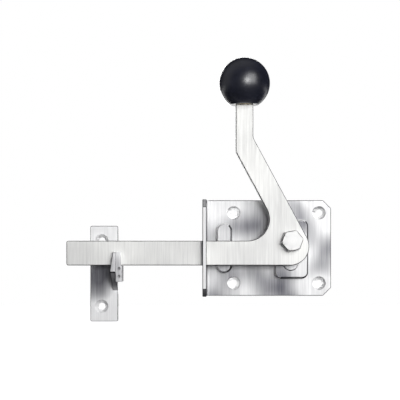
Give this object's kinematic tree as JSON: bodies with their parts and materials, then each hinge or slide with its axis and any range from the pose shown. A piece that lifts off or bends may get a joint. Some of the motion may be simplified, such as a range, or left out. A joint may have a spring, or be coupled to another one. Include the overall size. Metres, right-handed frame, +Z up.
{
  "type": "vertical lever bolt",
  "caption": "Surface-mounted lever bolt: a cranked lever with a ball knob turns on a folded guide plate and drops its bar into a separate hooked strike.",
  "frame": {"origin": "centre of the mounting plate's four screw holes, on its back face", "axes": "+X to the right, away from the bar's free end; +Y into the door, along the screws; +Z up"},
  "size_m": [0.2605, 0.05, 0.259],
  "materials": {
    "plate_steel": "satin stainless, upright brush lines",
    "lever_steel": "satin stainless, fine upright brush lines",
    "fastener_steel": "satin, turned and milled",
    "bush_bronze": "plain turned bronze",
    "insert_brass": "turned brass",
    "knob_plastic": "glossy blue-black"
  },
  "bodies": {
    "mounting": {"base_plate": "plate_steel", "pivot_bolt": "fastener_steel", "pivot_bush": "bush_bronze", "lock_washer": "fastener_steel", "thin_nut": "fastener_steel", "strike_plate": "plate_steel", "rest_lug": "plate_steel"},
    "lever_arm": {"lever": "lever_steel", "knob_insert": "insert_brass", "ball_knob": "knob_plastic"}
  },
  "joints": [
    {"name": "lever_pivot", "type": "hinge", "parent": "mounting", "child": "lever_arm", "pos_m": [0.0135, -0.0193, 0.007], "axis": [0, 1, 0], "range_deg": [0, 16]}
  ]
}
